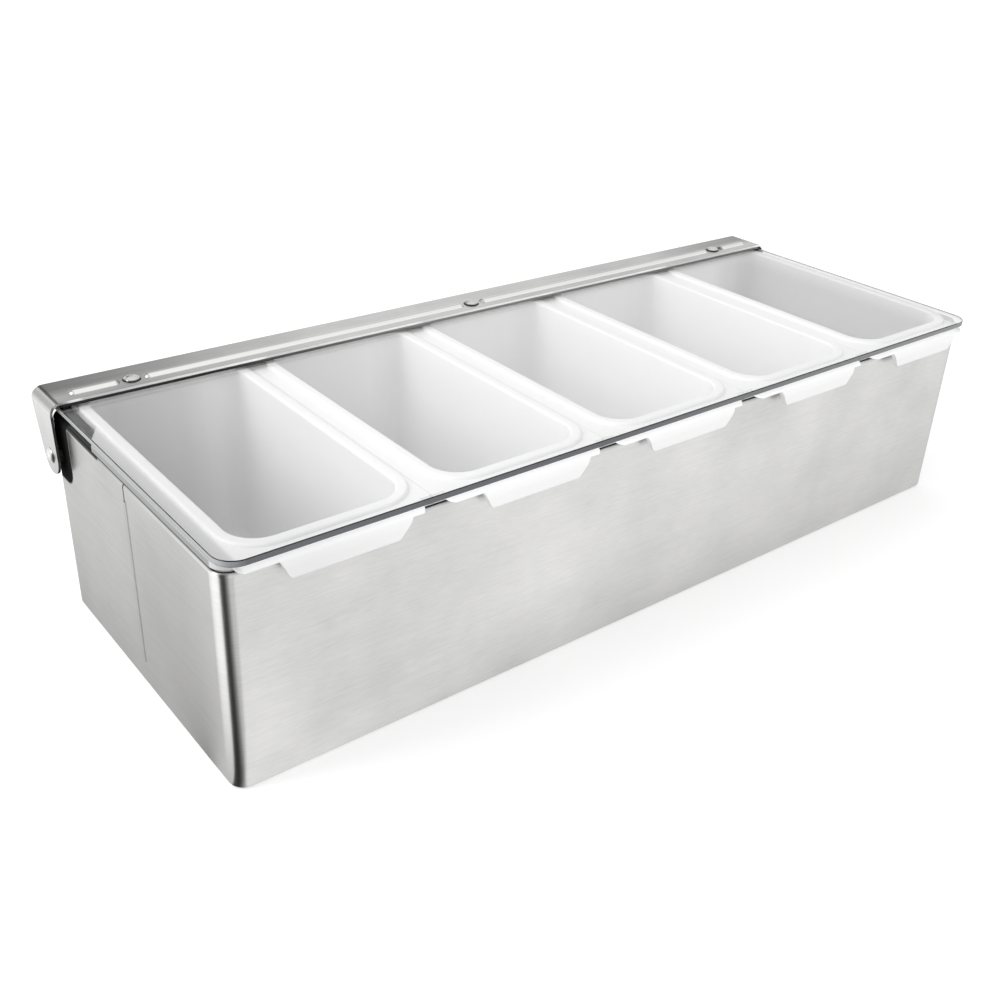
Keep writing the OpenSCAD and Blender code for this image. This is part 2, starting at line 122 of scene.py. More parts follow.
def new_group(name, takes, gives):
    """An empty shader group with named sockets; returns its tree, its inputs and its outputs."""
    tree = bpy.data.node_groups.new(name, "ShaderNodeTree")
    kinds = {"f": "NodeSocketFloat", "c": "NodeSocketColor", "v": "NodeSocketVector"}
    for way, sockets in (("INPUT", takes), ("OUTPUT", gives)):
        for label, kind in sockets.items():
            tree.interface.new_socket(label, in_out=way, socket_type=kinds[kind])
    given, out = tree.nodes.new("NodeGroupInput"), tree.nodes.new("NodeGroupOutput")
    return tree, given.outputs, out.inputs


def brushed_grain():
    """Level streaks of a grinding belt with clouds over them, as colour, roughness and height."""
    tree, given, out = new_group(
        "brushed_grain",
        {"Place": "v", "Stretch": "v", "Clouds": "f", "Dark": "c", "Light": "c",
         "Fine": "f", "Coarse": "f"},
        {"Color": "c", "Roughness": "f", "Height": "f"})
    long_place = stretched(tree, given["Place"], given["Stretch"])
    finer = (6.3, 2.3, 2.3)
    short_place = stretched(tree, long_place, finer)
    long_lines = add(tree, "TexNoise", {
        "Vector": long_place, "Scale": 1.0, "Detail": 3.0, "Roughness": 0.65}).outputs["Fac"]
    short_lines = add(tree, "TexNoise", {
        "Vector": short_place, "Scale": 1.0, "Detail": 1.0, "Roughness": 0.5}).outputs["Fac"]
    clouds = add(tree, "TexNoise", {
        "Vector": given["Place"], "Scale": given["Clouds"],
        "Detail": 3.0, "Roughness": 0.55}).outputs["Fac"]
    short_share, cloud_share = 0.5, 0.52
    tint_span, gloss_span = (0.34, 0.66), (0.3, 0.7)
    lines = mix(tree, "FLOAT", short_share, long_lines, short_lines)
    pattern = mix(tree, "FLOAT", cloud_share, lines, clouds)
    colour = mix(tree, "RGBA", fade(tree, pattern, tint_span), given["Dark"], given["Light"])
    roughness = fade(tree, pattern, gloss_span, (given["Coarse"], given["Fine"]))
    tree.links.new(colour, out["Color"])
    tree.links.new(roughness, out["Roughness"])
    tree.links.new(lines, out["Height"])
    return tree


def new_finish(name):
    """An empty material; returns it, its tree, its Principled shader's inputs and its coordinates."""
    made = bpy.data.materials.new(name)
    made.use_nodes = True
    tree = made.node_tree
    return made, tree, tree.nodes["Principled BSDF"].inputs, add(tree, "TexCoord").outputs


def dress(nodes, finish):
    """Gives a finish to CAD nodes in every material slot they have."""
    for name in nodes:
        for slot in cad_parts[name].material_slots:
            slot.material = finish


grain = brushed_grain()
grain_relief = (0.06, 0.0002)
# The black of the painted shade and the painted reflection on the steel.
painted_shade_black = grey(0.015)

wall_low, wall_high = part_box("housing_wall")
pivot_low, pivot_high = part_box("pivot_rivet_left")
pivot = (pivot_low + pivot_high) / 2

# The wall's painted dark areas: a painted reflection of the ear and painted shade. Each span goes from
# where an area begins to where it is full: a place in metres (_x, _y, _z), or how squarely the face looks
# along an axis (_turn), from 0 to 1.
image_corner_y, image_corner_z = pivot.y - 0.0050, pivot.z - 0.0047
image_radius = (0.0092, 0.0080)
image_off_back_turn = (0.50, 0.30)
end_x = (wall_high.x - 0.007, wall_high.x - 0.005)
left_end_x = (-end_x[0], -end_x[1])
hem_z, hem_off_top_turn = (wall_high.z - 0.0011, wall_high.z - 0.0006), (0.93, 0.85)
gap_y, gap_z, gap_darkness = (0.0265, 0.0290), (wall_high.z - 0.0021, wall_high.z - 0.0013), 0.95
seam_y, seam_turn, seam_darkness = (0.020, 0.010), (0.06, 0.25), 0.6
outside_x = (wall_high.x - 0.0008, wall_high.x - 0.0004)


def housing_finish():
    """Brushed steel with a painted reflection of the left ear, and painted shade under the inserts, in the
    open gap and on the seam.
    """
    made, tree, shader, place = new_finish("housing_steel")
    at_x, at_y, at_z = axes_of(tree, place["Object"])
    face_y, face_z = axes_of(tree, place["Normal"])[1:]
    skin = add(tree, "Group", {
        "Place": place["Object"], "Stretch": (24.0, 24.0, 1300.0), "Clouds": 17.0,
        "Dark": (0.595, 0.595, 0.59, 1), "Light": (0.765, 0.76, 0.75, 1),
        "Fine": 0.27, "Coarse": 0.36}, node_tree=grain).outputs
    from_middle = work_out(tree, "ABSOLUTE", at_x)

    # The painted reflection of the ear reaches up and back from a round corner, and stays off the wall's
    # back.
    below_corner = work_out(tree, "MAXIMUM", work_out(tree, "SUBTRACT", image_corner_z, at_z), 0.0)
    before_corner = work_out(tree, "MAXIMUM", work_out(tree, "SUBTRACT", image_corner_y, at_y), 0.0)
    off_corner = add(tree, "CombineXYZ", {0: below_corner, 1: before_corner}).outputs[0]
    off_corner = add(tree, "VectorMath", {0: off_corner}, operation="LENGTH").outputs["Value"]
    painted_ear_reflection = all_of(tree, fade(tree, off_corner, image_radius), fade(tree, at_x, left_end_x),
                       fade(tree, face_y, image_off_back_turn))

    # Painted shade darkens the hem under the inserts' flanges, and more behind the ends of the flanges.
    hem_shade = all_of(tree, fade(tree, at_z, hem_z), fade(tree, face_z, hem_off_top_turn))
    painted_gap_shade = all_of(tree, fade(tree, at_y, gap_y), fade(tree, at_z, gap_z, (0.0, gap_darkness)),
                      fade(tree, from_middle, end_x))

    # Painted shade on the seam's two sloping sides, which alone face forward or back in the middle of the
    # end.
    seam_side = fade(tree, work_out(tree, "ABSOLUTE", face_y), seam_turn, (0.0, seam_darkness))
    by_seam = fade(tree, work_out(tree, "ABSOLUTE", at_y), seam_y)
    painted_seam_shade = all_of(tree, seam_side, by_seam, fade(tree, from_middle, outside_x))

    # Where the painted shade and reflection are full, the steel is drawn as a black non-metal.
    dark = any_of(tree, painted_ear_reflection, hem_shade, painted_seam_shade, painted_gap_shade)
    round_it = add(tree, "Tangent", direction_type="RADIAL", axis="Z")
    shader["Specular IOR Level"].default_value = 0.0
    shader["Anisotropic"].default_value = 0.7
    shader["Anisotropic Rotation"].default_value = 0.25
    tree.links.new(work_out(tree, "SUBTRACT", 1.0, dark), shader["Metallic"])
    tree.links.new(mix(tree, "RGBA", dark, skin["Color"], painted_shade_black), shader["Base Color"])
    tree.links.new(skin["Roughness"], shader["Roughness"])
    tree.links.new(relief(tree, skin["Height"], *grain_relief), shader["Normal"])
    tree.links.new(round_it.outputs[0], shader["Tangent"])
    return made


dress(["housing_wall"], housing_finish())

# The bottom pan: a flat sheet of mill-finished stainless that lies on the band's bottom flange
# and is spot welded to it.


def pan_finish():
    """Duller steel with the marks of the rolling mill along the sheet."""
    made, tree, shader, place = new_finish("pan_steel")
    skin = add(tree, "Group", {
        "Place": place["Object"], "Stretch": (30.0, 260.0, 260.0), "Clouds": 22.0,
        "Dark": (0.52, 0.52, 0.515, 1), "Light": (0.66, 0.66, 0.65, 1),
        "Fine": 0.34, "Coarse": 0.48}, node_tree=grain).outputs
    shader["Metallic"].default_value = 1.0
    tree.links.new(skin["Color"], shader["Base Color"])
    tree.links.new(skin["Roughness"], shader["Roughness"])
    return made


dress(["bottom_pan"], pan_finish())

# The five inserts: injection-moulded white polypropylene tubs with a bead round the mouth, a
# flange that rests on the band's hem and a tab that hooks over the front. They lift out.


def moulded_skin():
    """The faint texture of a moulded plastic face: cloudy gloss, a fine ripple and a change of tint."""
    tree, given, out = new_group(
        "moulded_skin",
        {"Place": "v", "Ripple": "f", "Dark": "c", "Light": "c", "Glossy": "f", "Dull": "f"},
        {"Color": "c", "Roughness": "f", "Height": "f"})
    broad = add(tree, "TexNoise", {
        "Vector": given["Place"], "Scale": 17.0, "Detail": 2.0, "Roughness": 0.5}).outputs["Fac"]
    fine = add(tree, "TexNoise", {
        "Vector": given["Place"], "Scale": given["Ripple"], "Detail": 2.0, "Roughness": 0.6}).outputs["Fac"]
    fine_share, gloss_span = 0.5, (0.3, 0.7)
    both = mix(tree, "FLOAT", fine_share, broad, fine)
    tree.links.new(mix(tree, "RGBA", broad, given["Dark"], given["Light"]), out["Color"])
    tree.links.new(fade(tree, both, gloss_span, (given["Glossy"], given["Dull"])), out["Roughness"])
    tree.links.new(fine, out["Height"])
    return tree


def greys_along(tree, share, first, last, stops):
    """A ramp of greys: stops from the first place, where the share is 0, to the last, where it is 1."""
    ramp = add(tree, "ValToRGB", {"Fac": share})
    bands = ramp.color_ramp.elements
    bands.remove(bands[1])
    for place, level in stops:
        band = bands[0] if place == first else bands.new((place - first) / (last - first))
        band.color = grey(level)
    return ramp.outputs["Color"]


moulded = moulded_skin()
ripple_relief = (0.05, 0.0002)
mouth_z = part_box("insert_1")[1].z
flange_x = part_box("insert_5")[1].x

# Painted light and shade: how light the plastic is inside the tubs, as places along the row with a
# level each, and how much darker it is on the outer flanges, on their sides and on the rims at the two ends
# of the row.
row_half, painted_light_lift = 0.24, 1.03
tub_shades = (
    (-0.240, 0.66), (-0.205, 0.76), (-0.178, 0.82), (-0.161, 1.04),
    (-0.145, 1.04), (-0.130, 0.88), (-0.088, 0.92), (-0.068, 1.00),
    (0.140, 1.00), (0.160, 1.05), (0.206, 1.05), (0.228, 0.76))
tub_z, tub_y = (mouth_z - 0.0010, mouth_z - 0.0095), (wall_low.y + 0.0010, wall_low.y + 0.0015)
flange_z = (mouth_z - 0.0007, mouth_z - 0.0012)
flange_strip_x, strip_shade_level = (flange_x - 0.0080, flange_x - 0.0060), 0.72
flange_side_x, side_shade_level = (flange_x - 0.00025, flange_x - 0.00005), 0.5
left_rim_x, left_rim_level = (-0.150, -0.200), 0.88
right_rim_x, right_rim_level = (0.225, 0.234), 0.78


def insert_finish():
    """Satin white plastic with painted light and shade inside the tubs and painted shade at the outer
    flanges and rims.
    """
    made, tree, shader, place = new_finish("insert_plastic")
    at_x, at_y, at_z = axes_of(tree, place["Object"])
    skin = add(tree, "Group", {
        "Place": place["Object"], "Ripple": 900.0, "Dark": grey(0.89), "Light": grey(0.92),
        "Glossy": 0.30, "Dull": 0.42}, node_tree=moulded).outputs
    from_middle = work_out(tree, "ABSOLUTE", at_x)
    in_tub = all_of(tree, fade(tree, at_z, tub_z), fade(tree, at_y, tub_y))
    along = fade(tree, at_x, (-row_half, row_half))
    painted_tub_level = greys_along(tree, along, -row_half, row_half, tub_shades)
    # Painted light and shade: inside the tubs the plastic takes the painted level along the row, and all
    # the plastic is lifted a little as painted light.
    inside = work_out(tree, "MULTIPLY", mix(tree, "FLOAT", in_tub, 1.0, painted_tub_level), painted_light_lift)
    # Painted shade on the outer flange strips, on the flanges' outer sides and on the rims at both ends of
    # the row.
    strip = fade(tree, from_middle, flange_strip_x, (1.0, strip_shade_level))
    strip = mix(tree, "FLOAT", fade(tree, at_z, flange_z), 1.0, strip)
    side = fade(tree, from_middle, flange_side_x, (1.0, side_shade_level))
    painted_left_rim_shade = fade(tree, at_x, left_rim_x, (1.0, left_rim_level))
    painted_right_rim_shade = fade(tree, at_x, right_rim_x, (1.0, right_rim_level))
    tinted = scaled(tree, skin["Color"], all_of(tree, strip, side, inside, painted_left_rim_shade, painted_right_rim_shade))
    shader["IOR"].default_value = 1.49
    shader["Specular IOR Level"].default_value = 0.45
    tree.links.new(tinted, shader["Base Color"])
    tree.links.new(skin["Roughness"], shader["Roughness"])
    tree.links.new(relief(tree, skin["Height"], *ripple_relief), shader["Normal"])
    return made


dress([f"insert_{number}" for number in range(1, 6)], insert_finish())

# The lid: one flat sheet of clear 3 mm acrylic with round corners and three countersunk holes for
# its rivets. Its edges are sawn and sanded, so they look grey, with painted light and shade on them. It
# rests on the inserts' beads.

lid_low, lid_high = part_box("clear_lid")

# The sheet is drawn this much off the beads, so that no two faces lie in one plane.
lift_off_beads = 0.00006
lid_bottom, lid_top = lid_low.z + lift_off_beads, lid_high.z
front_corner, front_steps = 0.010, 16
back_corner, back_steps = 0.003, 8
polish = 0.00035
hole_wide, hole_narrow, hole_sink, hole_steps = 0.00355, 0.00205, 0.0015, 32
clear_slot, sawn_slot = 0, 1


def lid_outline(inset):
    """Points round the lid, drawn in from its edge by inset."""
    around = []
    back, front = (lid_high.y, back_corner, back_steps), (lid_low.y, front_corner, front_steps)
    corners = ((lid_high.x, *back, 0), (lid_low.x, *back, 90),
               (lid_low.x, *front, 180), (lid_high.x, *front, 270))
    for x, y, radius, steps, start in corners:
        centre_x, centre_y = x - math.copysign(radius, x), y - math.copysign(radius, y)
        for step in range(steps + 1):
            turn = math.radians(start + 90 * step / steps)
            reach = radius - inset
            around.append((centre_x + reach * math.cos(turn), centre_y + reach * math.sin(turn)))
    return around


def ring_of(shape, around, z):
    """A closed ring of vertices at one height, with its edges."""
    corners = [shape.verts.new((x, y, z)) for x, y in around]
    edges = [shape.edges.new((corners[k - 1], corners[k])) for k in range(len(corners))]
    return corners, edges


def skin_between(shape, low, high, slot):
    """A band of smooth quads in one material slot between two rings of as many vertices."""
    for k in range(len(low)):
        band = shape.faces.new((low[k - 1], low[k], high[k], high[k - 1]))
        band.smooth = True
        band.material_index = slot


def new_piece(name, shape):
    """Turns a shape's faces outward and makes an object of it in the scene."""
    bmesh.ops.recalc_face_normals(shape, faces=shape.faces)
    mesh = bpy.data.meshes.new(name)
    shape.to_mesh(mesh)
    shape.free()
    piece = bpy.data.objects.new(name, mesh)
    bpy.context.scene.collection.objects.link(piece)
    return piece


def cut_lid():
    """The sheet: polished edges above and below, a sawn edge between them, and the rivets' holes."""
    shape = bmesh.new()
    arc_middle = 0.3 * polish
    polished = [(0.0, polish), (arc_middle, arc_middle), (polish, 0.0)]
    levels = [(lid_bottom + rise, inset) for rise, inset in polished]
    levels += [(lid_top - rise, inset) for rise, inset in reversed(polished)]
    rims = [ring_of(shape, lid_outline(inset), z) for z, inset in levels]
    sawn_band = len(polished) - 1
    for k, (low, high) in enumerate(zip(rims, rims[1:])):
        skin_between(shape, low[0], high[0], sawn_slot if k == sawn_band else clear_slot)
    under, over = list(rims[0][1]), list(rims[-1][1])
    sunk = ((lid_bottom, hole_wide), (lid_bottom + hole_sink, hole_narrow), (lid_top, hole_narrow))
    for rivet in ("lid_rivet_left", "lid_rivet_middle", "lid_rivet_right"):
        pin_low, pin_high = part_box(rivet)
        pin = (pin_low + pin_high) / 2
        turns = [math.tau * k / hole_steps for k in range(hole_steps)]
        bores = [ring_of(shape, [(pin.x + r * math.cos(a), pin.y + r * math.sin(a)) for a in turns], z)
                 for z, r in sunk]
        for low, high in zip(bores, bores[1:]):
            skin_between(shape, high[0], low[0], clear_slot)
        under += bores[0][1]
        over += bores[-1][1]
    bmesh.ops.triangle_fill(shape, use_beauty=True, edges=under, normal=(0, 0, -1))
    bmesh.ops.triangle_fill(shape, use_beauty=True, edges=over, normal=(0, 0, 1))
    return shape


def acrylic_finish():
    """Clear plastic with a few smears, which lets soft light and the light of lamps straight through."""
    made, tree, shader, place = new_finish("lid_acrylic")
    smears = add(tree, "TexNoise", {
        "Vector": place["Object"], "Scale": 26.0, "Detail": 3.0, "Roughness": 0.6}).outputs["Fac"]
    shader["IOR"].default_value = 1.49
    shader["Transmission Weight"].default_value = 1.0
    shader["Base Color"].default_value = grey(0.99)
    smear_span, smear_roughness = (0.45, 0.8), (0.0, 0.035)
    tree.links.new(fade(tree, smears, smear_span, smear_roughness), shader["Roughness"])
    rays = add(tree, "LightPath").outputs
    passing = any_of(tree, rays["Is Shadow Ray"], rays["Is Diffuse Ray"])
    clear = add(tree, "BsdfTransparent", {"Color": grey(0.96)})
    glass = tree.nodes["Principled BSDF"].outputs[0]
    lit = add(tree, "MixShader", {0: passing, 1: glass, 2: clear.outputs[0]})
    tree.links.new(lit.outputs[0], tree.nodes["Material Output"].inputs["Surface"])
    return made


def sawn_finish():
    """The lid's edge: sanded grey with saw marks, darkened at the front as painted shade and paler at the
    ends and towards the right as painted light.
    """
    made, tree, shader, place = new_finish("lid_edge")
    painted_front_shade, painted_end_light = (0.105, 0.11, 0.118, 1), (0.36, 0.375, 0.38, 1)
    painted_right_light, right_x = (0.24, 0.25, 0.255, 1), (-0.05, 0.24)
    saw_pitch, mark_span = (900.0, 900.0, 120.0), (0.3, 0.7)
    mark_tint, mark_roughness = (0.98, 1.02), (0.275, 0.285)
    # Painted shade and light: the edge is darkest where it faces forward, paler where it faces the ends and
    # paler towards the right.
    endways = work_out(tree, "ABSOLUTE", axes_of(tree, place["Normal"])[0])
    tint = mix(tree, "RGBA", endways, painted_front_shade, painted_end_light)
    tint = mix(tree, "RGBA", fade(tree, axes_of(tree, place["Object"])[0], right_x), tint, painted_right_light)
    marks = add(tree, "TexNoise", {
        "Vector": stretched(tree, place["Object"], saw_pitch), "Scale": 1.0, "Detail": 2.0}).outputs["Fac"]
    shader["IOR"].default_value = 1.49
    tree.links.new(scaled(tree, tint, fade(tree, marks, mark_span, mark_tint)), shader["Base Color"])
    tree.links.new(fade(tree, marks, mark_span, mark_roughness), shader["Roughness"])
    return made


lid_sheet = new_piece("lid_sheet", cut_lid())
for finish in (acrylic_finish(), sawn_finish()):
    lid_sheet.data.materials.append(finish)
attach(lid_sheet, "lid")
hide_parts("clear_lid")

# The hinge bar: a strip of brushed stainless with a pressed stiffening rib, bent down into an
# ear at each end. Its rib and sheared edges carry a painted highlight, and painted shade darkens its bends,
# rib ends, inner side and underside.

bar_low, bar_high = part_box("hinge_bar")
along_bar, along_ear = (9.0, 1100.0, 1100.0), (1100.0, 1100.0, 9.0)
highlight_steel, bar_black = (0.97, 0.97, 0.96, 1), grey(0.02)
inner_shade_steel, inner_shade_roughness = (0.02, 0.02, 0.022, 1), 0.9

# Spans as on the wall, for the ears' grain, the painted highlight, the darker back ends, and the painted
# shade at the bends, rib ends, inner side and underside.
ear_turn, highlight_turn = (0.6, 0.8), (0.08, 0.28)
back_end_x, back_end_y = (bar_high.x - 0.0945, bar_high.x - 0.0045), (bar_low.y + 0.007, bar_low.y + 0.017)
back_end_turn, back_end_darkness = (0.90, 0.97), 0.6
ear_edge_z, ear_edge_darkness = (bar_high.z - 0.0061, bar_high.z - 0.0081), 0.93
rib_end_turn, rib_end_darkness = (0.12, 0.35), 0.35
before_bend_x = (bar_high.x - 0.0085, bar_high.x - 0.0105)
under_turn = (-0.3, -0.6)

# A face that looks to the middle has a turn and a place along the bar whose product is below zero.
inner_product = (-0.05, -0.15)


def bar_finish():
    """Brushed steel with a painted highlight, darker on top at the back near its ends, and painted shade at
    bends, rib ends, inside and below.
    """
    made, tree, shader, place = new_finish("bar_steel")
    at_x, at_y, at_z = axes_of(tree, place["Object"])
    face_x, face_y, face_z = axes_of(tree, place["Normal"])
    endways = work_out(tree, "ABSOLUTE", face_x)
    from_middle = work_out(tree, "ABSOLUTE", at_x)
    grain_way = mix(tree, "VECTOR", fade(tree, endways, ear_turn), along_bar, along_ear)
    skin = add(tree, "Group", {
        "Place": place["Object"], "Stretch": grain_way, "Clouds": 24.0,
        "Dark": (0.59, 0.59, 0.585, 1), "Light": (0.79, 0.79, 0.78, 1),
        "Fine": 0.18, "Coarse": 0.27}, node_tree=grain).outputs
    # Painted highlight: faces turned part way forward or back, on the rib and the sheared edges, are drawn
    # bright.
    painted_highlight = fade(tree, work_out(tree, "ABSOLUTE", face_y), highlight_turn)
    colour = mix(tree, "RGBA", painted_highlight, skin["Color"], highlight_steel)

    darker_back_ends = all_of(tree, fade(tree, from_middle, back_end_x), fade(tree, at_y, back_end_y),
                     fade(tree, face_z, back_end_turn), back_end_darkness)
    # Painted shade on each ear below the bend and at the rib's ends.
    painted_bend_shade = all_of(tree, fade(tree, at_z, ear_edge_z), painted_highlight, ear_edge_darkness)
    painted_rib_end_shade = all_of(tree, fade(tree, endways, rib_end_turn), fade(tree, from_middle, before_bend_x),
                     rib_end_darkness)
    colour = mix(tree, "RGBA", any_of(tree, darker_back_ends, painted_bend_shade, painted_rib_end_shade), colour, bar_black)

    # Painted shade: the ears' inner sides and the underside are drawn as a dull black non-metal.
    inner_side = fade(tree, work_out(tree, "MULTIPLY", face_x, at_x), inner_product)
    painted_inner_shade = any_of(tree, inner_side, fade(tree, face_z, under_turn))
    shader["Specular IOR Level"].default_value = 0.0
    tree.links.new(mix(tree, "RGBA", painted_inner_shade, colour, inner_shade_steel), shader["Base Color"])
    tree.links.new(work_out(tree, "SUBTRACT", 1.0, painted_inner_shade), shader["Metallic"])
    tree.links.new(mix(tree, "FLOAT", painted_inner_shade, skin["Roughness"], inner_shade_roughness), shader["Roughness"])
    tree.links.new(relief(tree, skin["Height"], *grain_relief), shader["Normal"])
    return made


dress(["hinge_bar"], bar_finish())

# The gap strip: a thin black strip with a round front, laid along the front of the gap between
# the lid and the bar, where the photograph shows a black line. It stands in for the shade in the gap, as
# painted shade.

gap_strip_clearance = 0.00002
spacer_low, spacer_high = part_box("lid_spacer_middle")
gap_strip_bottom, gap_strip_top = spacer_low.z + gap_strip_clearance, spacer_high.z - gap_strip_clearance
gap_strip_front, gap_strip_back = bar_low.y + 0.0004, bar_low.y + 0.0034
gap_strip_half = lid_high.x - 0.0015
strip_grey, strip_grey_x = grey(0.20), (-0.16, -0.04)
nose, nose_steps = (gap_strip_top - gap_strip_bottom) / 2, 8
flat_faces = 3
nose_y, nose_z = gap_strip_front + nose, gap_strip_bottom + nose


def lay_gap_strip():
    """The strip: flat below, behind and above, with a half-round nose, from end to end of the lid."""
    profile = [(gap_strip_back, gap_strip_bottom), (gap_strip_back, gap_strip_top)]
    for step in range(nose_steps + 1):
        turn = math.radians(90 + 180 * step / nose_steps)
        profile.append((nose_y + nose * math.cos(turn), nose_z + nose * math.sin(turn)))
    shape = bmesh.new()
    left, right = [[shape.verts.new((x, y, z)) for y, z in profile] for x in (-gap_strip_half, gap_strip_half)]
    for end in (left, right):
        shape.faces.new(end)
    for k in range(len(profile)):
        face = shape.faces.new((left[k - 1], left[k], right[k], right[k - 1]))
        face.smooth = k >= flat_faces
    return shape


def gap_strip_finish():
    """Dull black painted shade for the gap: black at the left end and grey from the middle to the right
    end.
    """
    made, tree, shader, place = new_finish("gap_strip_black")
    skin = add(tree, "Group", {
        "Place": place["Object"], "Ripple": 2500.0, "Dark": (0.012, 0.012, 0.013, 1),
        "Light": (0.022, 0.022, 0.024, 1), "Glossy": 0.6, "Dull": 0.8}, node_tree=moulded).outputs
    greyer = fade(tree, axes_of(tree, place["Object"])[0], strip_grey_x)
    shader["Specular IOR Level"].default_value = 0.3
    tree.links.new(mix(tree, "RGBA", greyer, skin["Color"], strip_grey), shader["Base Color"])
    tree.links.new(skin["Roughness"], shader["Roughness"])
    return made


gap_shade_strip = new_piece("gap_shade_strip", lay_gap_strip())
gap_shade_strip.data.materials.append(gap_strip_finish())
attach(gap_shade_strip, "lid")

# The rivets: polished domed steel. Three hold the lid to the bar, and one at each end is the
# pin that the bar's ear turns on.


def fine_scratches():
    """Sparse hairline scratches and smudges of a polished part, as a roughness and a height."""
    tree, given, out = new_group(
        "fine_scratches", {"Place": "v", "Clean": "f", "Worn": "f"}, {"Roughness": "f", "Height": "f"})
    lines = add(tree, "TexNoise", {
        "Vector": given["Place"], "Scale": 700.0, "Detail": 3.0, "Distortion": 1.5}).outputs["Fac"]
    smudge = add(tree, "TexNoise", {"Vector": given["Place"], "Scale": 120.0, "Detail": 2.0}).outputs["Fac"]
    smudge_share, worn_span = 0.6, (0.4, 0.68)
    both = mix(tree, "FLOAT", smudge_share, lines, smudge)
    tree.links.new(fade(tree, both, worn_span, (given["Clean"], given["Worn"])), out["Roughness"])
    tree.links.new(lines, out["Height"])
    return tree


scratches = fine_scratches()
scratch_relief = (0.03, 0.0001)

# The lid rivets stand above this height. Spans as on the wall, for the painted shade on the domes.
lid_rivet_z = (0.100, 0.105)
pivot_edge_turn, lid_ring_turn = (-0.45, -0.65), (0.82, 0.74)
# The pivots are drawn darker and less metallic than the lid rivets, as painted shade.
shaded_pivot_steel, lid_rivet_steel, dome_shade_black = (0.68, 0.68, 0.67, 1), (0.75, 0.75, 0.74, 1), grey(0.02)
pivot_metallic, lid_rivet_metallic = 0.35, 1.0


def rivet_finish():
    """Polished steel, with painted shade: a dark ring round the lid rivets' domes and a dark front edge on
    the pivots.
    """
    made, tree, shader, place = new_finish("rivet_steel")
    skin = add(tree, "Group", {
        "Place": place["Object"], "Clean": 0.10, "Worn": 0.22}, node_tree=scratches).outputs
    face_y, face_z = axes_of(tree, place["Normal"])[1:]
    on_bar = fade(tree, axes_of(tree, place["Object"])[2], lid_rivet_z)
    # Painted shade: the pivots' forward edge and a ring round the lid rivets' domes are drawn dark.
    painted_pivot_shade, painted_ring_shade = fade(tree, face_y, pivot_edge_turn), fade(tree, face_z, lid_ring_turn)
    dark = mix(tree, "FLOAT", on_bar, painted_pivot_shade, painted_ring_shade)
    polished = mix(tree, "RGBA", on_bar, shaded_pivot_steel, lid_rivet_steel)
    tree.links.new(mix(tree, "FLOAT", on_bar, pivot_metallic, lid_rivet_metallic), shader["Metallic"])
    tree.links.new(mix(tree, "RGBA", dark, polished, dome_shade_black), shader["Base Color"])
    tree.links.new(skin["Roughness"], shader["Roughness"])
    tree.links.new(relief(tree, skin["Height"], *scratch_relief), shader["Normal"])
    return made


dress(["lid_rivet_left", "lid_rivet_middle", "lid_rivet_right", "pivot_rivet_left", "pivot_rivet_right"],
      rivet_finish())

# The spacers: small black nylon rings on the rivets, which keep the bar off the acrylic.
# They are hidden between the two.


def spacer_finish():
    """Matte black plastic with a faint ripple in its gloss."""
    made, tree, shader, place = new_finish("spacer_plastic")
    skin = add(tree, "Group", {
        "Place": place["Object"], "Ripple": 1500.0, "Dark": (0.18, 0.18, 0.19, 1),
        "Light": (0.22, 0.22, 0.23, 1), "Glossy": 0.5, "Dull": 0.65}, node_tree=moulded).outputs
    tree.links.new(skin["Color"], shader["Base Color"])
    tree.links.new(skin["Roughness"], shader["Roughness"])
    return made


dress(["lid_spacer_left", "lid_spacer_middle", "lid_spacer_right"], spacer_finish())

# The pivot sleeves and washers: turned steel rings on the end rivets, one outside the wall to
# hold the ear off it and one inside as a backing.


def sleeve_finish():
    """Turned steel painted nearly black as shade, with fine scratches in its gloss."""
    made, tree, shader, place = new_finish("sleeve_steel")
    skin = add(tree, "Group", {
        "Place": place["Object"], "Clean": 0.35, "Worn": 0.5}, node_tree=scratches).outputs
    # Painted shade: the steel is drawn nearly black.
    shader["Base Color"].default_value = grey(0.05)
    shader["Metallic"].default_value = 1.0
    tree.links.new(skin["Roughness"], shader["Roughness"])
    tree.links.new(relief(tree, skin["Height"], *scratch_relief), shader["Normal"])
    return made


dress(["pivot_sleeve_left", "pivot_sleeve_right", "pivot_washer_left", "pivot_washer_right"],
      sleeve_finish())

# The studio: a white paper floor in a white room that is dark behind the camera. A group gives the
# tone that lies in each direction, and both the room and the floor show it in the metal.

# Each tone is a direction in degrees round the object, from its right at 0 over its back at 90,
# and how bright the studio is there.
studio_tones = (
    (-180, 1.00), (-171, 0.98), (-165, 0.00), (-141, 0.00), (-127, 0.20), (-118, 0.50), (-110, 0.86),
    (-84, 0.86), (-60, 0.86), (-45, 0.86), (-35, 0.83), (-27, 0.84), (-18, 0.89), (-9, 0.77), (-2, 0.63),
    (12, 0.74), (30, 0.80), (45, 0.70), (58, 0.84), (69, 0.52), (80, 0.58), (92, 0.86), (99, 0.87),
    (106, 0.71), (112, 0.53), (116, 0.51), (123, 0.72), (132, 0.92), (146, 0.99))
black, white = grey(0.0), grey(1.0)


def room_tones():
    """How bright the studio is in the direction given, whatever its height."""
    tree, given, out = new_group("room_tones", {"Direction": "v"}, {"Color": "c"})
    right, back = axes_of(tree, given["Direction"])[:2]
    angle = work_out(tree, "ARCTAN2", back, right)
    turn = fade(tree, angle, (-math.pi, math.pi))
    tree.links.new(greys_along(tree, turn, -180, 180, studio_tones), out["Color"])
    return tree


def in_sight(tree, rays):
    """Full where the camera looks, straight or through the lid."""
    return work_out(tree, "MAXIMUM", rays["Is Camera Ray"], rays["Is Transmission Ray"])


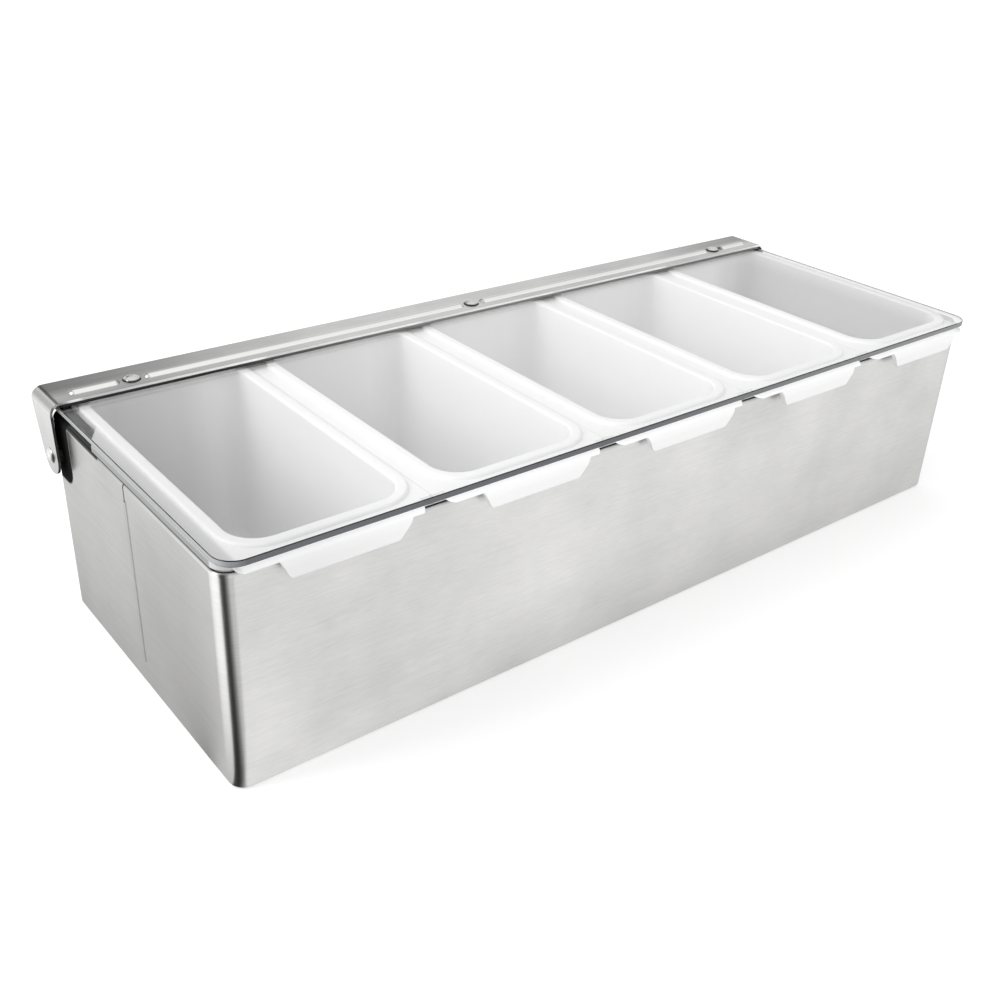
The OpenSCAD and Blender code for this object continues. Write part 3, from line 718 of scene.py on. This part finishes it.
tones = room_tones()
corner_radius = 0.008
near_corner = (corner_radius - wall_high.x, wall_low.y + corner_radius, 0.0)
floor_half, floor_z = 12.0, -0.0003
floor_white, floor_white_mirrored = grey(0.72), grey(0.10)
floor_glow, floor_glow_mirrored = grey(0.4), grey(1.16)

# Left of the box the floor is mirrored darker beside its foot as a painted shadow, and lighter further out
# as painted light.
foot_x, foot_levels = (-wall_high.x, -wall_high.x - 0.115), (0.51, 1.20)


def paper_finish():
    """White paper that the camera sees white, and that the metal mirrors in the studio's tones."""
    made, tree, shader, place = new_finish("floor_paper")
    from_corner = add(tree, "VectorMath", {0: place["Object"], 1: near_corner}, operation="SUBTRACT")
    tone = add(tree, "Group", {"Direction": from_corner.outputs[0]}, node_tree=tones).outputs[0]
    rays = add(tree, "LightPath").outputs
    glossy = rays["Is Glossy Ray"]
    at_x = axes_of(tree, place["Object"])[0]
    # Painted shadow beside the box's left foot, which only the metal shows.
    painted_foot_shadow = fade(tree, at_x, foot_x, foot_levels)
    painted_foot_shadow = mix(tree, "FLOAT", work_out(tree, "LESS_THAN", at_x, foot_x[0]), 1.0, painted_foot_shadow)
    mirrored = mix(tree, "RGBA", glossy, white, scaled(tree, tone, painted_foot_shadow))
    shown = any_of(tree, in_sight(tree, rays), glossy)
    base = mix(tree, "RGBA", glossy, floor_white, floor_white_mirrored)
    glow = mix(tree, "RGBA", shown, black, mix(tree, "RGBA", glossy, floor_glow, floor_glow_mirrored))
    shader["Roughness"].default_value = 0.9
    shader["Specular IOR Level"].default_value = 0.0
    shader["Emission Strength"].default_value = 1.0
    for colour, label in ((base, "Base Color"), (glow, "Emission Color")):
        tree.links.new(mix(tree, "RGBA", 1.0, colour, mirrored, blend_type="MULTIPLY"), shader[label])
    return made


paper_mesh = bpy.data.meshes.new("floor")
paper_corners = [(x * floor_half, y * floor_half, floor_z) for x, y in ((-1, -1), (1, -1), (1, 1), (-1, 1))]
paper_mesh.from_pydata(paper_corners, [], [(0, 1, 2, 3)])
paper_mesh.materials.append(paper_finish())
floor = bpy.data.objects.new("floor", paper_mesh)
bpy.context.scene.collection.objects.link(floor)

# The room, in parts of a direction: _up from 0 at the horizon to 1 overhead, _right and _back alike.
ceiling_up, ceiling = (0.6, 0.95), grey(0.9)
beam_up, beam_back, beam_right, beam_left = (0.39, 0.43), (0.75, 0.80), (0.15, 0.10), (-0.15, -0.10)
front_back, low_up = (0.0, -1.0), (0.50, 0.20)
daylight, daylight_low_front, daylight_right = 0.97, 0.7, -0.35


def paint_room():
    """White to the camera, toned in the metal with a dark beam at the back, soft light on the rest."""
    room = bpy.data.worlds.new("white_room")
    room.use_nodes = True
    tree = room.node_tree
    tree.nodes.clear()
    way = add(tree, "TexCoord").outputs["Generated"]
    right, back, up = axes_of(tree, way)
    rays = add(tree, "LightPath").outputs

    tone = add(tree, "Group", {"Direction": way}, node_tree=tones).outputs[0]
    walls = mix(tree, "RGBA", fade(tree, up, ceiling_up), tone, ceiling)
    beam = all_of(tree, fade(tree, up, beam_up), fade(tree, right, beam_right),
                  fade(tree, right, beam_left), fade(tree, back, beam_back))
    walls = mix(tree, "RGBA", beam, walls, black)

    low_front = all_of(tree, fade(tree, back, front_back), fade(tree, up, low_up))
    level = work_out(tree, "MULTIPLY_ADD", low_front, daylight_low_front, daylight)
    level = work_out(tree, "MULTIPLY_ADD", right, daylight_right, level)
    soft = add(tree, "CombineColor", {0: level, 1: level, 2: level}).outputs[0]

    lighting = mix(tree, "RGBA", rays["Is Glossy Ray"], soft, walls)
    shown = mix(tree, "RGBA", in_sight(tree, rays), lighting, white)
    light = add(tree, "Background", {"Color": shown, "Strength": 1.0})
    add(tree, "OutputWorld", {"Surface": light.outputs[0]})
    return room


bpy.context.scene.world = paint_room()

# A soft box stands to the left, turned to the back of the inserts.
lamp_at, lamp_aim = Vector((-1.1, 0.3, 0.9)), Vector((0.0, 0.05, 0.08))
lamp = bpy.data.lights.new("soft_box_left", "AREA")
lamp.shape, lamp.size, lamp.size_y, lamp.energy = "RECTANGLE", 0.5, 0.9, 6.0
lamp_holder = bpy.data.objects.new("soft_box_left", lamp)
lamp_turn = (lamp_at - lamp_aim).to_track_quat("Z", "Y").to_matrix().to_4x4()
lamp_holder.matrix_world = Matrix.Translation(lamp_at) @ lamp_turn
bpy.context.scene.collection.objects.link(lamp_holder)

# The camera stands where the photograph was taken: in front, to the left and above.
eye = Vector((-0.387408, -0.428802, 0.341439))
tilt, roll, heading = 61.52103, -2.42536, -38.40267
look = Euler([math.radians(angle) for angle in (tilt, roll, heading)])
film_width, picture_px, lens_px = 36.0, 1000, 1165.586
centre_x_px, centre_y_px = 507.991, 488.416
camera = bpy.data.cameras.new("camera")
camera.sensor_width = film_width
camera.lens = lens_px / picture_px * film_width
camera.shift_x = (picture_px / 2 - centre_x_px) / picture_px
camera.shift_y = (centre_y_px - picture_px / 2) / picture_px
camera.clip_start = 0.01
viewer = bpy.data.objects.new("camera", camera)
viewer.matrix_world = Matrix.Translation(eye) @ look.to_matrix().to_4x4()
bpy.context.scene.collection.objects.link(viewer)
bpy.context.scene.camera = viewer
bpy.context.scene.view_settings.view_transform = "Standard"
